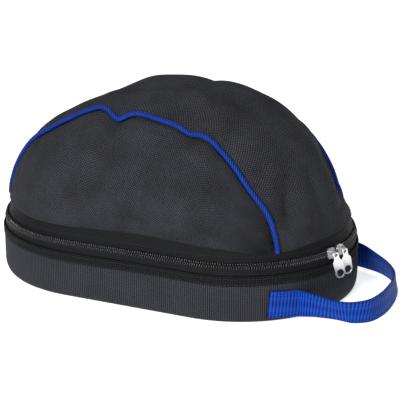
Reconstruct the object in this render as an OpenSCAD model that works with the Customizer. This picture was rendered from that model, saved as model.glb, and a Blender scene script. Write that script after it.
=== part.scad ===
// Soft domed zip bag: an oval padded base, a piped dome lid that hinges at one end,
// a two-way coil zip all round and a webbing loop handle.
// +X points to the handle end, +Z up, origin at the middle of the base's underside.

/* [Base] */
// Overall length of the bag over its hem
bag_len = 350; // [330:1:370]
// Radius of each round end over the hem, half the bag's width
end_r = 112; // [108:1:116]
// Height of the upright band
band_h = 44; // [40:1:48]
// How far the band's foot is tucked in under the bag
foot_tuck = 3.5; // [2:0.5:5]
// Height of the tucked foot
foot_h = 7; // [5:1:9]
// Height of the stitched hem at the band's top
hem_h = 9; // [7:1:11]

/* [Layers] */
// Thickness of the outer cloth
cloth_t = 1.2; // [1:0.1:1.4]
// Thickness of the padding
foam_t = 3; // [2:0.5:3.5]
// Thickness of the lining
lining_t = 0.8; // [0.5:0.1:1]
// Thickness of the stiff base board
board_t = 2.5; // [2:0.5:3]

/* [Dome] */
// Height of the dome above its bottom edge
dome_h = 122; // [105:1:130]
// Height of the dome's bottom edge above the ground
dome_z = 66; // [65:1:67]
// Fullness of the dome's profile, where 2 is an ellipse
dome_full = 1.88; // [1.7:0.02:2.1]
// How much fuller the hinge end is than the handle end
full_tilt = 0.12; // [0:0.02:0.2]
// How far the crown leans towards the handle end
dome_lean = 20; // [0:1:24]
// Distance of the piped seam from the middle, at the middle of the bag
seam_y = 60; // [54:1:64]
// How fast the two seams spread towards the handle end
seam_spread = 0.12; // [0:0.01:0.14]
// Diameter of the piping cord
piping_d = 4; // [3:0.5:4.5]

/* [Zip] */
// Height of the middle of the zip above the ground
zip_z = 52.2; // [52:0.1:52.6]
// Inward lean of the zip, in degrees from upright
zip_lean = 18; // [16:1:20]
// Width of one row of coil
coil_w = 2.4; // [2.2:0.1:2.6]
// Depth of the coil
coil_t = 2.2; // [2:0.1:2.3]
// Gap between the two rows, where a slider's neck runs
coil_gap = 1.2; // [1:0.1:1.4]
// Thickness of the zip tape
tape_t = 0.6; // [0.5:0.1:0.7]
// Half the arc at the hinge end that has cloth instead of zip, in degrees
hinge_arc = 14; // [12:1:16]
// Place of the near slider on the end arc, in degrees from +X
near_park = -19; // [-24:1:-18]
// Place of the far slider on the end arc, in degrees from +X
far_park = -12; // [-12:1:-4]

/* [Handle] */
// Width of the webbing
webbing_w = 25; // [20:1:25]
// Thickness of the webbing
webbing_t = 2; // [1.5:0.1:2]
// Height of the webbing's lower edge above the ground
webbing_z = 4; // [3:0.5:4]
// Reach of the loop beyond its sewn ends
loop_reach = 58; // [50:1:70]
// Half the width of the loop at its sewn ends
loop_half = 68; // [66:1:70]
// Angle on the end arc where a sewn end starts, on the loop's side
sewn_from = 38; // [34:1:40]
// Angle on the end arc where a sewn end stops
sewn_to = 54; // [48:1:58]

/* [Sliders] */
// Length of a slider
slider_len = 11; // [10:0.5:12]
// Width of a slider across the coil
slider_w = 9.6; // [9:0.1:10]
// Thickness of a slider's plates
plate_t = 1.1; // [0.8:0.1:1.3]
// Width of the crown that holds the pull
crown_w = 2; // [1.6:0.1:2.2]
// Inner radius of the crown
crown_in = 1.3; // [1.2:0.1:1.4]
// Outer radius of the crown
crown_out = 2.4; // [2.2:0.1:2.6]
// Height of the pull's pivot over the slider's front plate
pivot_up = 2.9; // [2.7:0.1:3.1]
// Length of a pull from its pivot to its tip
pull_len = 24.4; // [20:0.2:26]
// Width of a pull's grip
pull_w = 8; // [7:0.5:9]
// Thickness of a pull
pull_t = 1.4; // [1:0.1:1.6]
// Radius of the round bar at the top of a pull
bar_r = 0.7; // [0.6:0.05:0.8]

/* [Hidden] */
$fn = 96;
EPS = 0.05;
CLEAR = 0.35;
straight = bag_len / 2 - end_r;
hem_t = 0.6;
band_r = end_r - hem_t;
foam_r = band_r - cloth_t - EPS;
lining_r = foam_r - foam_t - EPS;
inner_r = lining_r - lining_t - EPS;
board_z = cloth_t + EPS;
pad_z = board_z + board_t + EPS;
floor_z = pad_z + foam_t + EPS;
inside_z = floor_z + lining_t + EPS;
zip_r = end_r - 4.5;
tape_root_r = band_r - cloth_t - tape_t / 2 - 0.1;
dome_r = zip_r - (dome_z - zip_z) * tan(zip_lean) + tape_t / 2 + cloth_t + 0.1;
upper_tape_r = dome_r - cloth_t - tape_t / 2 - 0.3;
dome_foam_t = cloth_t + tape_t + 0.8;
dome_lining_t = dome_foam_t + foam_t + 0.1;
tape_top_z = dome_z + 6;
tape_tilt = 1.4;
mouth_rise = 7.2;
fold_r = 0.9;
fold_len = 26;

black = "#2c2c30";
coal = "#1c1c1f";
royal = "#1f49c8";
grey = "#6d7075";
silver = "#c4c7cb";

// ---- Oval rings and plates -------------------------------------------------------------

// One side of an oval ring: the section runs along X at +Y.
module straight_run(section) {
    translate([-straight, 0, 0]) rotate([90, 0, 90]) linear_extrude(2 * straight) polygon(section);
}

// Part of a round end, from angle a over sweep degrees, about the end's own centre.
module end_run(side, a, sweep, section) {
    translate([side * straight, 0, 0]) rotate([0, 0, a]) rotate_extrude(angle = sweep) polygon(section);
}

// A whole oval ring whose wall has the given section of [radius, height] points.
module oval_ring(section) {
    end_run(1, -90, 180, section);
    end_run(-1, 90, 180, section);
    straight_run(section);
    mirror([0, 1, 0]) straight_run(section);
}

// An oval ring left open over the hinge's arc at -X.
module open_ring(section) {
    end_run(1, -90, 180, section);
    end_run(-1, 90, 90 - hinge_arc - 1, section);
    mirror([0, 1, 0]) end_run(-1, 90, 90 - hinge_arc - 1, section);
    straight_run(section);
    mirror([0, 1, 0]) straight_run(section);
}

module oval_plate(r, z, t) {
    translate([0, 0, z]) linear_extrude(t) union() {
        translate([straight, 0]) circle(r);
        translate([-straight, 0]) circle(r);
        square([2 * straight, 2 * r], center = true);
    }
}

// A point of the leaning zip wall: u up along the wall, w outwards from it.
function zip_wall(u, w) = [
    zip_r + w * cos(zip_lean) - u * sin(zip_lean),
    zip_z + w * sin(zip_lean) + u * cos(zip_lean)
];

function upright(r0, r1, z0, z1) = [[r0, z0], [r1, z0], [r1, z1], [r0, z1]];

// ---- Base ------------------------------------------------------------------------------

module base_panel() {
    color(black) oval_plate(band_r - foot_tuck - cloth_t - EPS, 0, cloth_t);
}

module base_board() {
    color(grey) oval_plate(inner_r - 2, board_z, board_t);
}

module base_pad() {
    color("dimgray") oval_plate(lining_r - 0.5, pad_z, foam_t);
}

module base_lining() {
    color(coal) oval_plate(lining_r - EPS, floor_z, lining_t);
}

// The bound seam that runs round the floor inside.
module base_binding() {
    color(coal) oval_ring(upright(inner_r - 1.2, inner_r, inside_z, inside_z + 8));
}

module band_outer() {
    tuck = band_r - foot_tuck;
    color(black) oval_ring([
        [tuck, 0], [band_r, foot_h], [band_r, band_h],
        [band_r - cloth_t, band_h], [band_r - cloth_t, foot_h + 0.3], [tuck - cloth_t, 0]
    ]);
}

module band_pad() {
    color("dimgray") oval_ring(upright(foam_r - foam_t, foam_r, inside_z, band_h - hem_h));
}

module band_lining() {
    color(coal) oval_ring(upright(lining_r - lining_t, lining_r, inside_z, band_h - 1));
}

module band_hem() {
    color(coal) oval_ring(upright(band_r + EPS, end_r, band_h - hem_h, band_h));
}

// ---- Zip -------------------------------------------------------------------------------

// Section of the lower tape: upright inside the hem, then leaning in to the coil.
function lower_section(t) = [
    [tape_root_r - t / 2, band_h - hem_h + EPS], [tape_root_r + t / 2, band_h - hem_h + EPS],
    [tape_root_r + t / 2, band_h],
    zip_wall(-coil_gap / 2 - 0.3, t / 2), zip_wall(-coil_gap / 2 - 0.3, -t / 2),
    [tape_root_r - t / 2, band_h]
];

// Section of the upper tape: leaning from the coil, then upright inside the dome.
function upper_section(t) = [
    zip_wall(coil_gap / 2 + 0.3, -t / 2), zip_wall(coil_gap / 2 + 0.3, t / 2),
    [upper_tape_r + t / 2, dome_z], [upper_tape_r + t / 2 - tape_tilt, tape_top_z],
    [upper_tape_r - t / 2 - tape_tilt, tape_top_z], [upper_tape_r - t / 2, dome_z]
];

// Section of one row of coil, on the tape's outer face, from u0 to u1.
function coil_section(u0, u1) = [
    zip_wall(u0, tape_t / 2 + EPS), zip_wall(u1, tape_t / 2 + EPS),
    zip_wall(u1, tape_t / 2 + coil_t * 0.6), zip_wall(u1 * 0.8 + u0 * 0.2, tape_t / 2 + coil_t),
    zip_wall(u1 * 0.2 + u0 * 0.8, tape_t / 2 + coil_t), zip_wall(u0, tape_t / 2 + coil_t * 0.6)
];

module lower_zip_tape() {
    color(coal) open_ring(lower_section(tape_t));
}

module upper_zip_tape() {
    color(coal) open_ring(upper_section(tape_t));
}

module lower_zip_coil() {
    color(coal) open_ring(coil_section(-coil_gap / 2 - coil_w, -coil_gap / 2));
}

module upper_zip_coil() {
    color(coal) open_ring(coil_section(coil_gap / 2, coil_gap / 2 + coil_w));
}

// The cloth that joins lid and base where the zip stops.
module hinge_cloth_lower() {
    color(black) end_run(-1, 180 - hinge_arc, 2 * hinge_arc, [
        [tape_root_r - tape_t / 2, band_h - hem_h + EPS], [tape_root_r + tape_t / 2, band_h - hem_h + EPS],
        [tape_root_r + tape_t / 2, band_h], zip_wall(-1.4, tape_t), zip_wall(-1.4, -tape_t / 2),
        [tape_root_r - tape_t / 2, band_h]
    ]);
}

// Its lower edge is rolled into a round fold that the lid turns on.
module hinge_cloth_upper() {
    color(black) {
        end_run(-1, 180 - hinge_arc, 2 * hinge_arc, [
            zip_wall(0.4, -tape_t / 2), zip_wall(0.4, tape_t),
            [upper_tape_r + tape_t / 2, dome_z - 0.2], [upper_tape_r + tape_t / 2 - tape_tilt, tape_top_z],
            [upper_tape_r - tape_t / 2 - tape_tilt, tape_top_z], [upper_tape_r - tape_t / 2, dome_z]
        ]);
        translate([-straight - zip_r, 0, zip_z]) rotate([90, 0, 0])
            cylinder(r = fold_r, h = fold_len, center = true);
    }
}

// ---- Sliders and pulls -----------------------------------------------------------------

front_w = tape_t / 2 + coil_t + CLEAR;
back_w = -tape_t / 2 - CLEAR;
pivot_w = front_w + plate_t + pivot_up;
pivot_r = zip_r + pivot_w * cos(zip_lean);
pivot_z = zip_z + pivot_w * sin(zip_lean);

// Sets its children on the end arc at angle a: X along the zip, Y out of it, Z up it.
module on_zip(a, dir) {
    translate([straight, 0, 0]) rotate([0, 0, a]) translate([zip_r, 0, zip_z])
        rotate([0, -zip_lean, 0]) rotate([0, 0, -90]) scale_dir(dir) children();
}

module scale_dir(dir) {
    if (dir < 0) children();
    else mirror([1, 0, 0]) children();
}

// Outline of a slider's plate: square shoulders at the head, at +X, drawn in at the tail.
module plate_outline() {
    hl = slider_len / 2;
    hw = slider_w / 2;
    polygon([
        [-hl, -hw * 0.62], [-hl + 1.2, -hw * 0.8], [-0.5, -hw], [hl - 2.2, -hw], [hl - 0.6, -hw * 0.72],
        [hl, -1.3], [hl - 1.2, 0], [hl, 1.3],
        [hl - 0.6, hw * 0.72], [hl - 2.2, hw], [-0.5, hw], [-hl + 1.2, hw * 0.8], [-hl, hw * 0.62]
    ]);
}

// A flat plate from w0 outwards, in the frame of on_zip.
module plate(w0, t) {
    translate([0, w0 + t, 0]) rotate([90, 0, 0]) linear_extrude(t) plate_outline();
}

// The two plates, the neck between them, the side lips and the crown that holds the pull.
module slider_body() {
    lip_in = coil_gap / 2 + coil_w + CLEAR;
    lip_deep = coil_t - 0.1;
    plate(front_w, plate_t);
    plate(back_w - plate_t, plate_t);
    translate([1.6, back_w - 0.1, -0.3]) cube([2.6, front_w - back_w + 0.2, 0.6]);
    for (s = [0, 1]) mirror([0, 0, s])
        translate([-3, front_w - lip_deep, lip_in]) cube([6.2, lip_deep + 0.1, slider_w / 2 - lip_in]);
    translate([0, front_w + plate_t + pivot_up, 0]) rotate([0, 90, 0])
        translate([0, 0, -crown_w / 2]) rotate_extrude(angle = 180)
            translate([crown_in, 0]) square([crown_out - crown_in, crown_w]);
    for (s = [0, 1]) mirror([0, 0, s])
        translate([-crown_w / 2, front_w + plate_t - 0.1, crown_in])
            cube([crown_w, pivot_up + 0.2, crown_out - crown_in]);
}

module slider_near() {
    color(silver) on_zip(near_park, 1) slider_body();
}

module slider_far() {
    color(silver) on_zip(far_park, -1) slider_body();
}

// Outline of a hanging pull with its eye and grip slot: X across, Y up, the pivot at the origin.
module pull_outline() {
    difference() {
        union() {
            translate([-2.6, -6]) square([5.2, 6 + bar_r]);
            polygon([[-2.6, -5], [2.6, -5], [pull_w / 2, -8.5], [pull_w / 2, 3 - pull_len],
                [pull_w / 2 - 3, -pull_len], [3 - pull_w / 2, -pull_len],
                [-pull_w / 2, 3 - pull_len], [-pull_w / 2, -8.5]]);
        }
        translate([-1.35, -3.1]) square([2.7, 3.1 - bar_r]);
        translate([-1.35, -bar_r - 0.01]) square([2.7, 2 * bar_r + 0.02]);
        translate([-1.7, 4 - pull_len]) square([3.4, 6.5]);
        translate([0, 4 - pull_len]) circle(1.7);
        translate([0, 10.5 - pull_len]) circle(1.7);
    }
}

// A pull hanging plumb from its crown, with the round bar that turns in the crown.
module pull_at(a) {
    translate([straight, 0, 0]) rotate([0, 0, a]) translate([pivot_r, 0, pivot_z]) {
        rotate([90, 0, 90]) translate([0, 0, -pull_t / 2]) linear_extrude(pull_t) pull_outline();
        translate([0, -2.6, 0]) rotate([-90, 0, 0]) cylinder(r = bar_r, h = 5.2);
    }
}

module pull_near() {
    color(silver) pull_at(near_park);
}

module pull_far() {
    color(silver) pull_at(far_park);
}

// ---- Handle ----------------------------------------------------------------------------

loop_x = straight + (band_r + webbing_t) * cos(sewn_from) + 1.8;
handle_axis_x = loop_x + webbing_w / 2;
handle_axis_z = webbing_z + webbing_w / 2;

module handle_end(s) {
    color(royal) end_run(1, s > 0 ? sewn_from : -sewn_to, sewn_to - sewn_from,
        upright(band_r + EPS, band_r + EPS + webbing_t, webbing_z, webbing_z + webbing_w));
}

module handle_end_near() {
    handle_end(-1);
}

module handle_end_far() {
    handle_end(1);
}

// The loop's plan is half an ellipse; its two ends are rounded about the axis that it flexes on.
module handle_loop() {
    steps = 44;
    half_t = webbing_t / 2;
    function edge(k, off) = let (a = 180 * k / steps)
        [loop_x + (loop_reach + off) * sin(a), -(loop_half + off) * cos(a)];
    strip = [for (k = [0:steps]) edge(k, half_t), for (k = [steps:-1:0]) edge(k, -half_t)];
    color(royal) intersection() {
        translate([0, 0, webbing_z]) linear_extrude(webbing_w) polygon(strip);
        union() {
            translate([handle_axis_x, 0, handle_axis_z]) rotate([90, 0, 0])
                cylinder(d = webbing_w, h = 3 * loop_half, center = true);
            translate([handle_axis_x, -1.5 * loop_half, 0]) cube([2 * loop_reach, 3 * loop_half, 60]);
        }
    }
}

// ---- Dome ------------------------------------------------------------------------------

// Distance from the middle to an oval outline of end radius r, in direction a.
function oval_rho(a, r) = r * abs(cos(a)) <= straight * abs(sin(a))
    ? r / abs(sin(a))
    : straight * abs(cos(a)) + sqrt(r * r - pow(straight * sin(a), 2));

// The dome over plan point p of its outer outline, moved inwards by t.
function dome_point(p, t) = let (
    a = atan2(p[1], p[0]),
    g = min(1, norm(p) / oval_rho(a, dome_r)),
    m = dome_full - full_tilt * cos(a),
    h = pow(1 - pow(g, m), 1 / m),
    r = g * oval_rho(a, dome_r - t)
) [r * cos(a) + dome_lean * h * h, r * sin(a), dome_z + (dome_h - t) * h];

function seam_at(x) = seam_y + seam_spread * x;

// Where the seam line, moved out by off, meets the outline in X, found by halving.
function foot_x(lo, hi, off, n = 30) = n == 0 ? (lo + hi) / 2
    : let (x = (lo + hi) / 2, p = [x, seam_at(x) + off])
      norm(p) > oval_rho(atan2(p[1], p[0]), dome_r)
        ? (abs(lo) < abs(hi) ? foot_x(lo, x, off, n - 1) : foot_x(x, hi, off, n - 1))
        : (abs(lo) < abs(hi) ? foot_x(x, hi, off, n - 1) : foot_x(lo, x, off, n - 1));

// Plan of the far seam, moved out by off, from the hinge end to the handle end.
function seam_line(off, steps) = let (
    x0 = foot_x(-straight - dome_r, 0, off), x1 = foot_x(0, straight + dome_r, off)
) [for (k = [0:steps]) let (x = (x0 + x1) / 2 - (x1 - x0) / 2 * cos(180 * k / steps)) [x, seam_at(x) + off]];

// Plan of the outline from angle a0 to a1.
function outline(a0, a1, steps) = [
    for (k = [0:steps]) let (a = a0 + (a1 - a0) * k / steps) oval_rho(a, dome_r) * [cos(a), sin(a)]
];

function angle_of(p) = atan2(p[1], p[0]);
function inner_points(list) = [for (k = [1:len(list) - 2]) list[k]];
function flip_y(list) = [for (p = list) [p[0], -p[1]]];

// A closed shell over the plan loop, from depth t0 to depth t1, made of rings about a middle point.
module dome_shell(loop, middle, rings, t0, t1) {
    n = len(loop);
    function spread(k) = sin(90 * k / rings);
    function sheet(t) = concat([dome_point(middle, t)],
        [for (k = [1:rings], p = loop) dome_point(middle + (p - middle) * spread(k), t)]);
    function at(s, k, i) = s * (1 + rings * n) + 1 + (k - 1) * n + i % n;
    function centre(s) = s * (1 + rings * n);
    polyhedron(
        points = concat(sheet(t0), sheet(t1)),
        faces = concat(
            [for (i = [0:n - 1]) [centre(0), at(0, 1, i + 1), at(0, 1, i)]],
            [for (k = [1:rings - 1], i = [0:n - 1]) [at(0, k, i), at(0, k, i + 1), at(0, k + 1, i + 1)]],
            [for (k = [1:rings - 1], i = [0:n - 1]) [at(0, k, i), at(0, k + 1, i + 1), at(0, k + 1, i)]],
            [for (i = [0:n - 1]) [centre(1), at(1, 1, i), at(1, 1, i + 1)]],
            [for (k = [1:rings - 1], i = [0:n - 1]) [at(1, k, i + 1), at(1, k, i), at(1, k + 1, i + 1)]],
            [for (k = [1:rings - 1], i = [0:n - 1]) [at(1, k + 1, i + 1), at(1, k, i), at(1, k + 1, i)]],
            [for (i = [0:n - 1]) [at(0, rings, i + 1), at(1, rings, i + 1), at(0, rings, i)]],
            [for (i = [0:n - 1]) [at(0, rings, i), at(1, rings, i + 1), at(1, rings, i)]]
        )
    );
}

// The D-shaped far side panel; the near one is its mirror.
module side_panel() {
    steps = 24;
    seam = seam_line(piping_d / 2, steps);
    rim = outline(angle_of(seam[steps]), angle_of(seam[0]), 28);
    dome_shell(concat(rim, inner_points(seam)), [0, 0.72 * dome_r + 4], 9, 0, cloth_t);
}

module side_panel_far() {
    color(black) side_panel();
}

module side_panel_near() {
    color(black) mirror([0, 1, 0]) side_panel();
}

// The strip that runs over the top from the hinge end to the handle end.
module centre_panel() {
    steps = 18;
    seam = seam_line(-piping_d / 2, steps);
    a0 = angle_of(seam[steps]);
    a1 = angle_of(seam[0]);
    loop = concat(
        outline(-a0, a0, 18), inner_points([for (k = [steps:-1:0]) seam[k]]),
        outline(a1, 360 - a1, 18), inner_points(flip_y(seam))
    );
    color(black) dome_shell(loop, [0, 0], 8, 0, cloth_t);
}

// Share of the outline's reach at which the dome has risen by up.
function reach_at(a, up) = let (m = dome_full - full_tilt * cos(a)) pow(1 - pow(up / dome_h, m), 1 / m);

// Plan of the dome's mouth inside, cut level above the zip tape's top.
mouth = [for (p = outline(0, 352.5, 47)) reach_at(angle_of(p), mouth_rise) * p];

module dome_pad() {
    color("dimgray") dome_shell(mouth, [0, 0], 8, dome_foam_t, dome_foam_t + foam_t);
}

module dome_lining() {
    color(coal) dome_shell(mouth, [0, 0], 8, dome_lining_t, dome_lining_t + lining_t);
}

// A round cord that lies along the far seam, sunk a little between the panels.
module piping() {
    steps = 40;
    sides = 8;
    line = seam_line(0, steps);
    function on(k) = dome_point(line[k], -0.9);
    function unit(v) = v / norm(v);
    function ring(k) = let (
        along = unit(on(min(k + 1, steps)) - on(max(k - 1, 0))),
        up = unit(dome_point(line[k], -3) - dome_point(line[k], 0)),
        side = unit(cross(along, up)),
        out = cross(side, along)
    ) [for (i = [0:sides - 1]) on(k) + piping_d / 2 * (cos(360 * i / sides) * side + sin(360 * i / sides) * out)];
    function at(k, i) = k * sides + i % sides;
    polyhedron(
        points = [for (k = [0:steps], p = ring(k)) p],
        faces = concat(
            [[for (i = [0:sides - 1]) i], [for (i = [sides - 1:-1:0]) at(steps, i)]],
            [for (k = [0:steps - 1], i = [0:sides - 1]) [at(k, i), at(k + 1, i), at(k + 1, i + 1)]],
            [for (k = [0:steps - 1], i = [0:sides - 1]) [at(k, i), at(k + 1, i + 1), at(k, i + 1)]]
        )
    );
}

module piping_far() {
    color(royal) piping();
}

module piping_near() {
    color(royal) mirror([0, 1, 0]) piping();
}

// The bound edge round the dome's mouth inside.
module dome_binding() {
    r = upper_tape_r - tape_t / 2 - tape_tilt - 0.3;
    color(coal) oval_ring(upright(r - 1.2, r, dome_z, tape_top_z));
}

base_panel();
base_board();
base_pad();
base_lining();
base_binding();
band_outer();
band_pad();
band_lining();
band_hem();
lower_zip_tape();
lower_zip_coil();
hinge_cloth_lower();
handle_end_near();
handle_end_far();
handle_loop();
side_panel_near();
side_panel_far();
centre_panel();
dome_pad();
dome_lining();
piping_near();
piping_far();
dome_binding();
upper_zip_tape();
upper_zip_coil();
hinge_cloth_upper();
slider_near();
slider_far();
pull_near();
pull_far();
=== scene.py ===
import math

import bmesh
import bpy
from mathutils import Matrix, Vector, noise


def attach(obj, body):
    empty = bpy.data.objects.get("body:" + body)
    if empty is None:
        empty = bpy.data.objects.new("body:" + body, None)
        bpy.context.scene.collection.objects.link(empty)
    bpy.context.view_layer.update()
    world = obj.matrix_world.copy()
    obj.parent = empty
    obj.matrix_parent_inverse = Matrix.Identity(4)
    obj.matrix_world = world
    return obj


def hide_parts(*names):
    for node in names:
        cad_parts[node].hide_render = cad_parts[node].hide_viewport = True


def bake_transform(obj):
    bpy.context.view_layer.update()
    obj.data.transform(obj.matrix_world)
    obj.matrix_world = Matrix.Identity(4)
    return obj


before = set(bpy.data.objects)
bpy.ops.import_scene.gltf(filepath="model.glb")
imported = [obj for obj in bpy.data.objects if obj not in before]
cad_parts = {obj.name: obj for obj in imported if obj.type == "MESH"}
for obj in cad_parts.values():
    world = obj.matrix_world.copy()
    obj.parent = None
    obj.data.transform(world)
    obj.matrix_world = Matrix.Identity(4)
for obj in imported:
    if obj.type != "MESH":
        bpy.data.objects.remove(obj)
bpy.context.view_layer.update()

MM = 0.001

# ---- Camera ------------------------------------------------------------------------------

camera_data = bpy.data.cameras.new("camera")
camera_data.lens = 123.4
camera_data.sensor_width = 36
camera_data.clip_start = 0.05
camera_data.clip_end = 50
camera = bpy.data.objects.new("camera", camera_data)
bpy.context.scene.collection.objects.link(camera)
bpy.context.scene.camera = camera
VIEW_BACK = Vector((0.4022, -0.8625, 0.3074)).normalized()
VIEW_AIM = Vector((0.0204, 0.0060, 0.0701))
bpy.context.scene.view_settings.view_transform = "Standard"
camera.location = VIEW_AIM + 1.3 * VIEW_BACK
camera.rotation_mode = "QUATERNION"
camera.rotation_quaternion = (-VIEW_BACK).to_track_quat("-Z", "Y")

# ---- Sizes, as the frame has them --------------------------------------------------------

STRAIGHT = 63 * MM
END_R = 112 * MM
BAND_R = 111.4 * MM
BAND_H = 44 * MM
HEM_H = 9 * MM
FOOT_TUCK = 3.5 * MM
FOOT_H = 7 * MM
CLOTH = 1.2 * MM
ZIP_R = 107.5 * MM
ZIP_Z = 52.2 * MM
ZIP_LEAN = math.radians(18)
TAPE_T = 0.6 * MM
TAPE_ROOT_R = BAND_R - CLOTH - TAPE_T / 2 - 0.1 * MM
DOME_R = 104.616 * MM
DOME_H = 122 * MM
DOME_Z = 66 * MM
DOME_FULL, FULL_TILT = 1.88, 0.12
DOME_LEAN = 20 * MM
SEAM_Y, SEAM_SPREAD = 60 * MM, 0.12
PIPING_R = 2 * MM
SEAM_GAP = PIPING_R * 0.6
UPPER_TAPE_R = DOME_R - CLOTH - TAPE_T / 2 - 0.3 * MM
HINGE_ARC = math.radians(14)
INSIDE_Z = 7.7 * MM


# ---- Materials ---------------------------------------------------------------------------

def paint(hex_colour):
    """Linear colour of an sRGB hex value."""
    parts = [int(hex_colour[i:i + 2], 16) / 255 for i in (1, 3, 5)]
    return tuple(c / 12.92 if c <= 0.04045 else ((c + 0.055) / 1.055) ** 2.4 for c in parts) + (1.0,)


def add(tree, kind, inputs=None, **settings):
    """Adds a node with its settings, and sets or links its inputs."""
    node = tree.nodes.new(kind)
    for name, value in settings.items():
        setattr(node, name, value)
    for key, value in (inputs or {}).items():
        if isinstance(value, bpy.types.NodeSocket):
            tree.links.new(value, node.inputs[key])
        else:
            node.inputs[key].default_value = value
    return node


def bands(period):
    """Wave texture scale that gives one band per period of the coordinate."""
    return 2 * math.pi / (20 * period)


def new_material(name, **surface):
    """A material with its surface shader, and the sockets that are the same all over set on it."""
    material = bpy.data.materials.new(name)
    material.use_nodes = True
    tree = material.node_tree
    tree.nodes.clear()
    shader = add(tree, "ShaderNodeBsdfPrincipled", surface)
    add(tree, "ShaderNodeOutputMaterial", {"Surface": shader.outputs[0]})
    return material, tree, shader


def mottle_and_painted_shade(tree, shader, coords, pattern, dark, light, patch_mm, shade, depth_mm, rough, strength=1.0):
    """Colour from a pattern, scaled up and down by soft patches that are painted light and shade of folds;
    roughness from the patches, relief from the pattern.
    """
    patches = add(tree, "ShaderNodeTexNoise",
                  {"Vector": coords, "Scale": 1 / (patch_mm * MM), "Detail": 3.0})
    tone = add(tree, "ShaderNodeMix", {0: pattern, 6: paint(dark), 7: paint(light)}, data_type="RGBA")
    stretched = add(tree, "ShaderNodeMapRange", {0: patches.outputs[0], 1: 0.3, 2: 0.7})
    # Painted light and shade: the soft patches brighten and darken the colour by shade, in place of the
    # shading of folds.
    painted_fold_shade = add(tree, "ShaderNodeMix",
               {0: stretched.outputs[0], 6: (1 - shade,) * 3 + (1,), 7: (1 + shade,) * 3 + (1,)},
               data_type="RGBA")
    colour = add(tree, "ShaderNodeMix", {0: 1.0, 6: tone.outputs[2], 7: painted_fold_shade.outputs[2]},
                 data_type="RGBA", blend_type="MULTIPLY")
    spread = add(tree, "ShaderNodeMapRange",
                 {0: patches.outputs[0], 1: 0.3, 2: 0.7, 3: rough[0], 4: rough[1]})
    relief = add(tree, "ShaderNodeBump",
                 {"Height": pattern, "Distance": depth_mm * MM, "Strength": strength})
    tree.links.new(colour.outputs[2], shader.inputs["Base Color"])
    tree.links.new(spread.outputs[0], shader.inputs["Roughness"])
    tree.links.new(relief.outputs[0], shader.inputs["Normal"])


def woven(name, dark, light, thread_mm, depth_mm, turn=0.0, shade=0.12, rough=(0.7, 0.85),
          patch_mm=35, weft_share=1.0, **surface):
    """Plain weave along the piece's own UV map, which is in metres: floats of warp over weft."""
    material, tree, shader = new_material(name, **surface)
    uv = add(tree, "ShaderNodeUVMap", uv_map="cloth")
    turned = add(tree, "ShaderNodeMapping", {"Vector": uv.outputs[0], "Rotation": (0, 0, turn)})
    floats = add(tree, "ShaderNodeTexChecker", {"Vector": turned.outputs[0], "Scale": 1 / (thread_mm * MM),
                                                "Color1": (1, 1, 1, 1), "Color2": (0, 0, 0, 1)})
    warp = add(tree, "ShaderNodeTexWave", {"Vector": turned.outputs[0], "Scale": bands(thread_mm * MM),
                                           "Distortion": 0.4, "Detail": 1.0, "Detail Scale": 3.0},
               bands_direction="X")
    weft = add(tree, "ShaderNodeTexWave", {"Vector": turned.outputs[0], "Scale": bands(thread_mm * MM),
                                           "Distortion": 0.4, "Detail": 1.0, "Detail Scale": 3.0},
               bands_direction="Y")
    share = add(tree, "ShaderNodeMath", {0: floats.outputs[1], 1: weft_share}, operation="MULTIPLY")
    over = add(tree, "ShaderNodeMix", {0: share.outputs[0], 2: warp.outputs[1], 3: weft.outputs[1]})
    mottle_and_painted_shade(tree, shader, uv.outputs[0], over.outputs[0], dark, light, patch_mm, shade, depth_mm, rough)
    return material


def ribbed(name, dark, light, rib_mm, depth_mm, shade=0.1, rough=(0.5, 0.65), across=False,
           yarn_mm=0.9, yarn_share=0.3, **surface):
    """Ribs across a narrow woven tape, each broken into its yarns."""
    material, tree, shader = new_material(name, **surface)
    uv = add(tree, "ShaderNodeUVMap", uv_map="cloth")
    ribs = add(tree, "ShaderNodeTexWave", {"Vector": uv.outputs[0], "Scale": bands(rib_mm * MM),
                                           "Distortion": 0.5, "Detail": 1.0, "Detail Scale": 4.0},
               bands_direction="Y" if across else "X", wave_profile="SIN")
    yarns = add(tree, "ShaderNodeTexWave", {"Vector": uv.outputs[0], "Scale": bands(yarn_mm * MM),
                                            "Distortion": 1.0, "Detail": 1.0, "Detail Scale": 4.0},
                bands_direction="X" if across else "Y")
    cover = add(tree, "ShaderNodeMix", {0: yarn_share, 2: ribs.outputs[1], 3: yarns.outputs[1]})
    mottle_and_painted_shade(tree, shader, uv.outputs[0], cover.outputs[0], dark, light, 14, shade, depth_mm, rough)
    return material


def spun(name, dark, light, twist_mm, depth_mm, rough=(0.45, 0.6), **surface):
    """Twisted thread or cord: slanting strands over the piece's own UV map."""
    material, tree, shader = new_material(name, **surface)
    uv = add(tree, "ShaderNodeUVMap", uv_map="cloth")
    strands = add(tree, "ShaderNodeTexWave", {"Vector": uv.outputs[0], "Scale": bands(twist_mm * MM),
                                              "Distortion": 0.6, "Detail": 1.0, "Detail Scale": 3.0},
                  bands_direction="DIAGONAL")
    mottle_and_painted_shade(tree, shader, uv.outputs[0], strands.outputs[1], dark, light, 10, 0.12, depth_mm, rough)
    return material


def grained(name, dark, light, grain_mm, depth_mm, rough, shade=0.08, **surface):
    """A plain solid with a fine grain, on Object coordinates."""
    material, tree, shader = new_material(name, **surface)
    place = add(tree, "ShaderNodeTexCoord").outputs["Object"]
    grain = add(tree, "ShaderNodeTexNoise",
                {"Vector": place, "Scale": 1 / (grain_mm * MM), "Detail": 4.0, "Roughness": 0.6})
    mottle_and_painted_shade(tree, shader, place, grain.outputs[0], dark, light, 9, shade, depth_mm, rough)
    return material


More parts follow.
